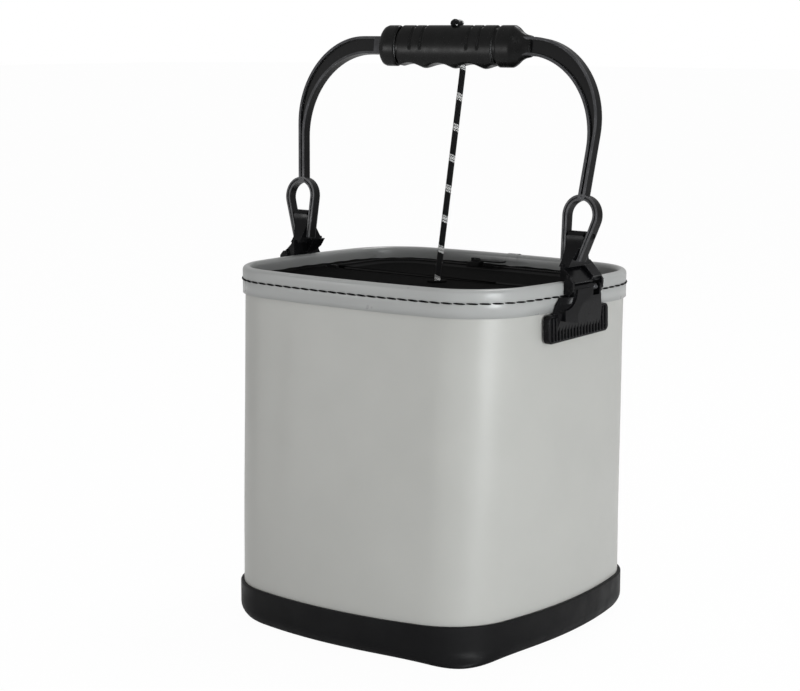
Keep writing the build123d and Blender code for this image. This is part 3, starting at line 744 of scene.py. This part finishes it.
def make_binding_overlap():
    """The tape's end lapped over its start at the back: a short stretch of its section, a little prouder."""
    profile = binding_profile(lap_swell)
    places = rim_run[np.argmax(rim_ring[:, 1])] + np.linspace(lap_start, lap_end, 10)
    ring, way = along_ring(rim_ring, rim_way, places)
    points = swept_profile(ring, way, profile[:, 0], profile[:, 1])
    uv = tape_uv(places, profile)
    piece = surface("rim_tape_lap", points, binding_cloth, "rim", loop=True, flip=True, uv=uv)


def small_bar(length, width, height):
    """Six-sided bar along X for stitches and teeth: four rings of points, drawn in at both ends."""
    a = circle(6)
    ring = np.stack([0 * a, np.cos(a) * width / 2, np.sin(a) * height / 2], 1)
    stations = ((-length / 2, 0.55), (-length / 4, 1), (length / 4, 1), (length / 2, 0.55))
    points = np.vstack([ring * (1, share, share) + (x, 0, 0) for x, share in stations])
    return points, grid_faces(len(stations), len(a), rings=True)[:, ::-1]


def facing_turns(way, droop=0.0):
    """Matrices with axes along a ring, outwards and up."""
    out = np.concatenate([way, np.zeros((len(way), 1))], 1)
    up = np.broadcast_to([0.0, 0.0, 1.0], out.shape)
    tilted = np.cross(out, up) * math.cos(droop) + up * math.sin(droop)
    return np.stack([tilted, out, np.cross(tilted, out)], -1)


def make_stitches():
    """Lockstitch round the binding: one bar a stitch, outside and inside."""
    count = int(rim_length / stitch_pitch)
    shape, faces = small_bar(stitch_pitch - stitch_gap, stitch_wide, stitch_high)
    ring, way = along_ring(rim_ring, rim_way, np.arange(count) * rim_length / count)
    for name, inset in (("outside", -0.12), ("inside", rim_t + 0.02)):
        at = np.concatenate([ring - way * inset, np.full((count, 1), stitch_z)], 1)
        piece = scattered("stitches_" + name, shape, faces, at, facing_turns(way, 0.05), thread, "rim")


# Net lid and zip


def zip_curve(grow):
    """U of the zip, grown outwards: even points, their outward directions and their distances along it."""
    x, y, r = zip_x + grow, zip_y + grow, zip_radius + grow
    arm, turn, run = y - r - flap_y, r * np.pi / 2, 2 * (x - r)
    s = np.linspace(0, 2 * (arm + turn) + run, 160)
    legs = [arm, arm + turn, arm + turn + run, arm + 2 * turn + run]
    a = np.select([s < legs[0], s < legs[1], s < legs[2], s < legs[3]],
                  [0 * s, (s - legs[0]) / r, 0 * s + np.pi / 2, np.pi / 2 + (s - legs[2]) / r], np.pi)
    way = np.stack([np.cos(a), np.sin(a)], 1)
    corner_x = np.select([s < legs[1], s < legs[2]], [x - r + 0 * s, x - r - (s - legs[1])], -(x - r))
    corner_y = np.select([s < legs[0], s < legs[3]], [flap_y + s, y - r + 0 * s], y - r - (s - legs[3]))
    return np.stack([corner_x, corner_y], 1) + way * r, way, s


def between(near, far, shares):
    """Rows of points from one line of points to another, at shares of the way."""
    return near[None] + (far - near)[None] * shares[:, None, None]


def net_panel(name, flat, body, flip=False):
    """Net panel from a grid of points in plan, at the lid's level."""
    piece = surface(name, at_heights(flat, np.full(len(flat), lid_top)), net, body, flip=flip)
    thicken(piece, lid_t)
    return piece


def make_lid():
    """Net lid: front panel, the band outside the zip at the back, and the flap inside the zip."""
    inside = rim_ring - rim_way * (rim_t + 0.3)
    right = inside[inside[:, 0] > 0]
    order = np.argsort(right[:, 1])
    front_y, flap_edge = -inside[:, 1].min(), flap_y + slack
    y = -np.cos(np.linspace(0, np.pi / 2, 60)) * front_y * 0.9995
    y = np.append(y, np.linspace(0.5, flap_y - slack, 8))
    half = np.interp(y, right[order, 1], right[order, 0])
    flat = np.stack(np.broadcast_arrays(half[:, None] * np.linspace(-1, 1, 50)[None], y[:, None]), -1)
    front = net_panel("lid_net_front", flat, "rim")
    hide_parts("lid_front")
    edge, _, s = zip_curve(0.1)
    back = inside[inside[:, 1] > flap_y - 6]
    angle = np.arctan2(back[:, 1] - flap_y, back[:, 0])
    order = np.argsort(angle)
    wanted = np.arctan2(edge[:, 1] - flap_y, edge[:, 0])
    wanted = np.linspace(0, np.pi, len(s)) * 0.35 + wanted * 0.65
    outer = read_at(wanted, angle[order], back[order])
    net_panel("lid_net_band", between(edge, outer, np.linspace(0, 1, 8)), "rim", flip=True)
    edge, _, _ = zip_curve(-0.1)
    edge[:, 1] = np.maximum(edge[:, 1], flap_edge)
    low = np.stack([edge[:, 0], np.full(len(edge), flap_edge)], 1)
    rear = net_panel("lid_net_flap", between(low, edge, np.linspace(0, 1, 16)), "flap", flip=True)
    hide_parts("lid_flap")


def make_lid_hem():
    """Edge of the net, turned up against the binding: a low band with a softly wavy top."""
    run = np.linspace(0, rim_length, 400, endpoint=False)
    ring, way = along_ring(rim_ring, rim_way, run)
    profile = np.array([(1.6, -0.1), (0.9, 0.05), (0.35, 0.5), (0.1, 1.25), (0.02, 1.5)])
    points = swept_profile(ring, way, rim_t + profile[:, 0], lid_top + profile[:, 1])
    points[1:, :, 2] += 0.12 * np.sin(run / 2.3)[None] + 0.08 * np.sin(run / 7.1)[None]
    piece = surface("lid_net_hem", points, tape, "rim", rings=True)


def make_hinge_tape():
    """Tape over the flap's fold: a strip across the lid, whose long edges thin down to the net."""
    low, high = solid_box("flap_hinge_tape")
    x = np.linspace(low[0], high[0], 60)
    share = np.linspace(0, 1, 7)
    crown = 0.45 + 0.5 * np.sin(np.pi * share) ** 0.6 + 0.05 * np.sin(x / 4.0)[:, None]
    x, y = np.broadcast_arrays(x[:, None], low[1] + (high[1] - low[1]) * share)
    points = np.stack([x, y, low[2] + (high[2] - low[2]) * crown], -1)
    piece = surface("flap_hinge_band", points, tape, nodes["flap_hinge_tape"]["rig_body"], flip=True)
    thicken(piece, 0.35)
    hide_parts("flap_hinge_tape")


def make_zip():
    """Zip: a tape each side of the U, and a row of interlocked teeth on each tape."""
    share = np.linspace(0, 1, 6)
    lift = np.interp(share, [0, 0.12, 0.3, 1], [0.9, 0.75, 0.45, 0.15])
    shape, faces = small_bar(1.0, 1.75, 1.7)
    for body, side in (("rim", 1), ("flap", -1)):
        near, far = (zip_curve(side * grow)[0] for grow in (tape_near, tape_far))
        for line in (near, far):
            line[:, 1] = np.maximum(line[:, 1], flap_y + slack)
        points = at_heights(between(near, far, share), lid_top + lift)
        piece = surface("zip_tape_" + body + "_side", points, tape, body, flip=side > 0)
        thicken(piece, 0.5)
        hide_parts("zip_tape_" + body)
        line, way, s = zip_curve(side * tooth_out)
        shift = 0.5 if side > 0 else 0.0
        places = (np.arange(int(s[-1] / tooth_pitch)) + shift) * tooth_pitch + 1.0
        at, facing = read_at(places, s, line), read_at(places, s, way)
        keep = at[:, 1] > flap_y + slack + 0.8
        at = np.concatenate([at[keep], np.full((keep.sum(), 1), lid_top + tooth_up)], 1)
        turns = facing_turns(facing[keep])
        teeth = scattered("zip_teeth_" + body, shape, faces, at, turns, zip_plastic, body)
        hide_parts("zip_chain_" + body)


# Grip


def smooth_step(value, low, high):
    """0 below one value, 1 above another, and an even S between them."""
    share = np.clip((value - low) / (high - low), 0, 1)
    return share * share * (3 - 2 * share)


def oval_rings(x, share, low):
    """Rings of the grip's upright oval along X: their share of full size, and how far they hang lower."""
    angle = circle(72)[None]
    share, low = share[:, None] * np.ones_like(angle), low[:, None]
    across = grip_a * share * np.sin(angle)
    height = grip_h - low / 2 + (grip_b + low / 2) * share * np.cos(angle)
    return np.stack([x[:, None] + 0 * angle, across, height], -1)


def make_grip():
    """Grip barrel: an upright oval with grooves over its top and a wavy underside."""
    from_mid = np.linspace(-collar_start, collar_start, 290)
    x, ax = from_mid + barrel_mid, np.abs(from_mid)
    full = 1 - smooth_step(ax, barrel_half - 0.5, barrel_half + 0.1)
    rings = oval_rings(x, 0.84 + 0.16 * full, wave_ridge * full)
    groove = sum(np.exp(-(((ax - place) / groove_wide) ** 4)) for place in groove_places)
    upper = smooth_step(rings[..., 2], grip_h - 2.5, grip_h - 0.5)
    sunk = 1 - groove_depth * groove[:, None] * upper
    rings[..., 1] *= sunk
    rings[..., 2] = grip_h + (rings[..., 2] - grip_h) * sunk
    places = wave_shift + (np.arange(-1, 3) - 0.5) * wave_pitch
    off = np.abs(x[:, None] - places[None]).min(axis=1)
    floor = grip_h - grip_b - wave_ridge - wave_r + wave_depth
    floor = floor + np.sqrt(np.clip(wave_r ** 2 - off ** 2, 0, None))
    soft = 0.7
    above = rings[..., 2] - floor[:, None]
    rings[..., 2] = floor[:, None] + (above + np.sqrt(above * above + soft * soft)) / 2
    middle = np.array([0, 0, grip_h])
    caps = [(rings[k] - middle) * (1, 0.3, 0.3) + middle for k in (0, -1)]
    points = leaning(np.vstack([[caps[0]], rings, [caps[1]]]))
    piece = surface("grip_barrel", points, grip_rubber, "bail", rings=True)
    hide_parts("grip_front", "grip_rear")


def make_collars():
    """End collars: ovals along X with rounded shoulders, drawn in to the frame's arm at their outer end."""
    stations = {
        "right": [(47.2, 1.0), (49.5, 0.9), (52.5, 0.68), (55.3, 0.56), (59.0, 0.5), (59.3, 0.3)],
        "left": [(42.6, 1.0), (44.8, 0.93), (46.2, 0.8), (46.9, 0.62), (47.0, 0.3)],
    }
    for name, side in (("right", 1), ("left", -1)):
        start = collar_start + 0.2 + side * barrel_mid
        line = np.array([(start, 0.9), (start + 0.3, 0.96), (start + 1, 1.0)] + stations[name])
        x, share = read_at(np.linspace(0, len(line) - 1, 57), np.arange(len(line)), line).T
        share[2:-2] = np.convolve(share, np.array([1, 2, 3, 2, 1]) / 9, "valid")
        points = leaning(oval_rings(x, share, 0 * x) * (side, 1, 1))
        piece = surface("grip_end_" + name, points, grip_rubber, "bail", rings=True, flip=side < 0)
        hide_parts("grip_collar_" + name)


# Moulded and metal parts from the solid model


def softened(node, material, width, edge=None):
    """Copy of a solid part with its points merged and its edges rounded."""
    source = nodes[node]
    mesh = source.data.copy()
    mesh.polygons.foreach_set("use_smooth", np.ones(len(mesh.polygons), bool))
    mesh.materials.clear()
    piece = put_in_scene(node + "_moulding", mesh)
    mesh.materials.append(material)
    if edge:
        mesh.materials.append(edge)
    modify(piece, "WELD", merge_threshold=0.00001)
    modify(piece, "DECIMATE", decimate_type="DISSOLVE", angle_limit=math.radians(0.5))
    # The bevel's new faces take the second material where one is given: on the hard parts, the painted edge
    # highlight.
    modify(piece, "BEVEL", width=width * MM, segments=2, limit_method="ANGLE", angle_limit=math.radians(28),
           harden_normals=True, material=1 if edge else -1)
    modify(piece, "WEIGHTED_NORMAL", keep_sharp=True, weight=100)
    apply_modifiers(piece)
    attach(piece, source["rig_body"])
    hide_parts(node)


def dress(node, material):
    """A solid part that keeps its own mesh gets its finish."""
    mesh = nodes[node].data
    mesh.materials.clear()
    mesh.materials.append(material)


def make_hard_parts():
    for side in ("right", "left"):
        softened("hanger_" + side, hard_plastic, 0.45, edge_highlight_finish)
        softened("jaw_" + side, hard_plastic, 0.25, edge_highlight_finish)
        for node, finish in (("jaw_pin_", dark_pin), ("jaw_spring_", steel), ("pivot_pin_", dark_pin)):
            dress(node + side, finish)
    softened("bail_frame", bail_plastic, 0.6, edge_highlight_finish)
    softened("zip_slider", enamel, 0.15)
    softened("zip_pull", enamel, 0.15)
    dress("zip_end_stops", enamel)
    dress("rope_eyelet", matte_plastic)
    dress("hoop_wire", steel)
    dress("floor_board", board_plastic)


# Rope


def rope_at(h):
    """Point of the tight rope's straight line at a height over the pivot, in the bail's plane."""
    lid_h = (lid_z - pivot_z) / math.cos(lean)
    slope = (rope_exit_x - rope_lid_x) / (grip_h - grip_b - lid_h)
    return np.array([rope_lid_x + slope * (h - lid_h), 0.0, h])


def rope_at_level(z):
    """Point of the same line, leaning, at a level above the ground."""
    return leaning(rope_at((z - pivot_z) / math.cos(lean)))


def smooth_line(name, route, spacing):
    """Even points along a NURBS curve whose control points are the route, and its length."""
    curve = bpy.data.curves.new(name, "CURVE")
    curve.dimensions = "3D"
    curve.resolution_u = 12
    spline = curve.splines.new("NURBS")
    spline.points.add(len(route) - 1)
    weights = np.ones((len(route), 1))
    spline.points.foreach_set("co", np.concatenate([np.asarray(route) * MM, weights], 1).ravel())
    spline.order_u = 3
    spline.use_endpoint_u = True
    holder = bpy.data.objects.new(name, curve)
    mesh = bpy.data.meshes.new_from_object(holder)
    line = read(mesh.vertices, "co", 3) / MM
    bpy.data.objects.remove(holder)
    bpy.data.curves.remove(curve)
    bpy.data.meshes.remove(mesh)
    run = run_along(line)
    return read_at(np.linspace(0, run[-1], int(run[-1] / spacing) + 2), run, line), run[-1]


def rope_piece(name, route, spacing, body, solids, sides=12):
    """A stretch of the rope along a route, with its line of points and its length."""
    line, length = smooth_line(name, route, spacing)
    piece = capped_tube(name, line, rope_r, braid, body, sides)
    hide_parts(*solids)
    return piece, line, length


def coil_route():
    """Control points of the coil: spirals out and in that climb a layer in each reversing half turn.

    The radius changes by half a pitch in each half turn, and the height only in a climb.
    """
    floor = boot_floor + board_t + liner_t + rope_r + 0.05
    room, tail, steps = 0.45, 10.5, 8
    radii, heights = [coil_inner], [floor]
    for layer in range(coil_layers):
        way = 1 if layer % 2 == 0 else -1
        for turn in range(coil_halves):
            near_climb = turn == coil_halves - 1 or (turn == 0 and layer > 0)
            radii.append(radii[-1] + way * (coil_pitch / 2 + (room if near_climb else 0)))
            heights.append(heights[-1])
        if layer < coil_layers - 1:
            radii.append(radii[-1])
            heights.append(heights[-1] + coil_rise)
    share = np.arange((len(radii) - 1) * steps + 1) / steps
    r, z = (np.interp(share, np.arange(len(radii)), values) for values in (radii, heights))
    stretch = 1 / (0.5 + 0.5 * math.cos(np.pi / steps))
    turns = np.stack([r * stretch * np.cos(share * np.pi), r * stretch * np.sin(share * np.pi), z], 1)
    start = [(coil_inner - tail, -tail, floor), (coil_inner - tail * 0.45, -tail * 0.98, floor),
             (coil_inner, -tail * 0.5, floor)]
    end_r, end_z = radii[-1], heights[-1]
    lead = [(0.8 - end_r, -5.5, end_z + 0.6), (4.6 - end_r, -11.5, end_z + 3.2),
            (13.2 - end_r, -14.5, end_z + 9.0)]
    return np.vstack([start, turns[1:], lead])


def make_knot(name, node, body, size, thickness, placed):
    """Pulled overhand knot: a trefoil, two turns round with three waves in and out and up and down."""
    t = np.linspace(0, 2 * np.pi, 121)
    x = size * (np.sin(t) + 1.35 * np.sin(2 * t)) / 2.2
    y = size * (np.cos(t) - 1.35 * np.cos(2 * t)) / 2.2
    z = -0.45 * thickness * np.sin(3 * t)
    piece = capped_tube(name, placed(np.stack([x, y, z], 1)), thickness, braid, body)
    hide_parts(node)


def make_tight_rope():
    """Tight rope from below the lid to the knot on the grip, which stretches between rim and bail."""
    exit_h, top_h = grip_h - grip_b, grip_h + grip_b
    low, high = rope_at(exit_h), np.array([knot_x, 0.0, top_h])
    way = (high - low) / np.linalg.norm(high - low)
    straight = np.linspace(rope_at((rope_low - pivot_z) / math.cos(lean)), rope_at(exit_h - 6), 10)
    route = leaning(np.vstack([straight, [low, low + way * 6, (low + high) / 2, high + way * 1.2]]))
    piece, line, length = rope_piece("rope_tight", route, 1.2, "rim", ("rope_straight", "rope_neck"))
    piece.parent = None
    del piece["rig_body"]
    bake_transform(piece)
    make_knot("knot_on_grip", "rope_knot", "bail", 2.6, 1.45,
              lambda points: leaning(points + (knot_x, 0, top_h + 1.2)))


def make_loose_rope():
    """Rope inside the bucket: slack from the lid down to the coil, and the coil on the floor."""
    route = coil_route()
    last, before, start = route[-1], route[-2], route[0]
    toward = (last - before) / np.linalg.norm(last - before)
    fall = [rope_at_level(rope_low), rope_at_level(160.0), (-1.0, -7.0, 124.0), (1.5, -3.0, 90.0),
            (7.0, -6.0, 58.0), last + toward * 16, last]
    piece, line, length = rope_piece("rope_slack", fall, 1.5, "base", ("rope_drop",))
    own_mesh(piece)
    piece, line, length = rope_piece("rope_wound", route, 2.4, "base", ("rope_coil",), 10)
    make_knot("knot_at_end", "rope_end_knot", "base", 2.4, 1.4,
              lambda points: points[:, [2, 0, 1]] + start + (-1.0, 0, 2.35))


# Camera, light and floor


def make_camera():
    """Camera at the photograph's place, aimed at its target with no roll."""
    data = bpy.data.cameras.new("camera")
    data.lens, data.sensor_width = 90.11, 36.0
    data.clip_start, data.clip_end = 0.05, 20.0
    camera = put_in_scene("camera", data)
    place, target = np.array([707.2, -884.6, 335.0]) * MM, np.array([-29.9, 6.5, 151.7]) * MM
    back = (place - target) / np.linalg.norm(place - target)
    right = np.cross([0, 0, 1], back)
    right /= np.linalg.norm(right)
    turn = Matrix(np.stack([right, np.cross(back, right), back], 1).tolist()).to_4x4()
    camera.matrix_world = Matrix.Translation(place) @ turn
    bpy.context.scene.camera = camera


def area_light(name, place, target, size, power, colour=(1, 1, 1)):
    """Soft rectangular lamp at a place, facing a target."""
    data = bpy.data.lights.new(name, "AREA")
    data.shape, data.size, data.size_y, data.energy = "RECTANGLE", size[0], size[1], power
    data.color = colour
    lamp = put_in_scene(name, data)
    lamp.location = place
    lamp.rotation_euler = (Vector(target) - Vector(place)).to_track_quat("-Z", "Y").to_euler()


def seen_directly(tree):
    """1 for rays from the camera or through glass, and 0 for rays that reflect or only light the object."""
    path = tree.nodes.new("ShaderNodeLightPath")
    either = tree.nodes.new("ShaderNodeMath")
    either.operation = "MAXIMUM"
    tree.links.new(path.outputs["Is Camera Ray"], either.inputs[0])
    tree.links.new(path.outputs["Is Transmission Ray"], either.inputs[1])
    return either.outputs[0]


def mixed(tree, share, first, second, output):
    """Joins a mix of two shaders to the tree's output."""
    mix = tree.nodes.new("ShaderNodeMixShader")
    for k, source in enumerate((share, first.outputs[0], second.outputs[0])):
        tree.links.new(source, mix.inputs[k])
    tree.links.new(mix.outputs[0], tree.nodes[output].inputs[0])


def make_room():
    """White surround and a white floor that keeps a faint shadow, with four lamps."""
    world = bpy.data.worlds.new("surround")
    bpy.context.scene.world = world
    world.use_nodes = True
    tree = world.node_tree
    soft, white = tree.nodes["Background"], tree.nodes.new("ShaderNodeBackground")
    for surround, strength in ((soft, 0.5), (white, 1.0)):
        surround.inputs["Color"].default_value = (1, 1, 1, 1)
        surround.inputs["Strength"].default_value = strength
    mixed(tree, seen_directly(tree), soft, white, "World Output")
    size = 14.0
    mesh = bpy.data.meshes.new("floor")
    corners = [(-size, -size, 0), (size, -size, 0), (size, size, 0), (-size, size, 0)]
    mesh.from_pydata(corners, [], [(0, 1, 2, 3)])
    floor = put_in_scene("floor", mesh)
    plain = Nodes("white_floor", grey(0.92), 0.9)
    share = plain.calc("MULTIPLY", seen_directly(plain.tree), 0.97)
    mixed(plain.tree, share, plain.shader, plain.add("Emission"), "Material Output")
    mesh.materials.append(plain.material)
    area_light("key_right", (1.5, -0.62, 0.2), (0, 0, 0.12), (0.5, 0.6), 16.5, (0.97, 1.0, 1.01))
    area_light("fill_left", (-1.0, -1.25, 0.33), (0, 0, 0.2), (0.4, 0.2), 2.3)
    area_light("edge_strip", (0.25, -1.7, 1.3), (0, 0, 0.2), (0.7, 0.03), 1.0)
    area_light("top", (0.0, 0.6, 1.5), (0, 0, 0.1), (0.5, 0.5), 9)


make_camera()
make_tight_rope()
make_loose_rope()
make_wall()
make_seam_strip()
make_boot()
make_binding()
make_binding_overlap()
make_stitches()
make_lid_hem()
make_lid()
make_zip()
make_hinge_tape()
make_floor_liner()
make_grip()
make_collars()
make_hard_parts()
make_room()

bpy.context.scene.view_settings.view_transform = "Standard"
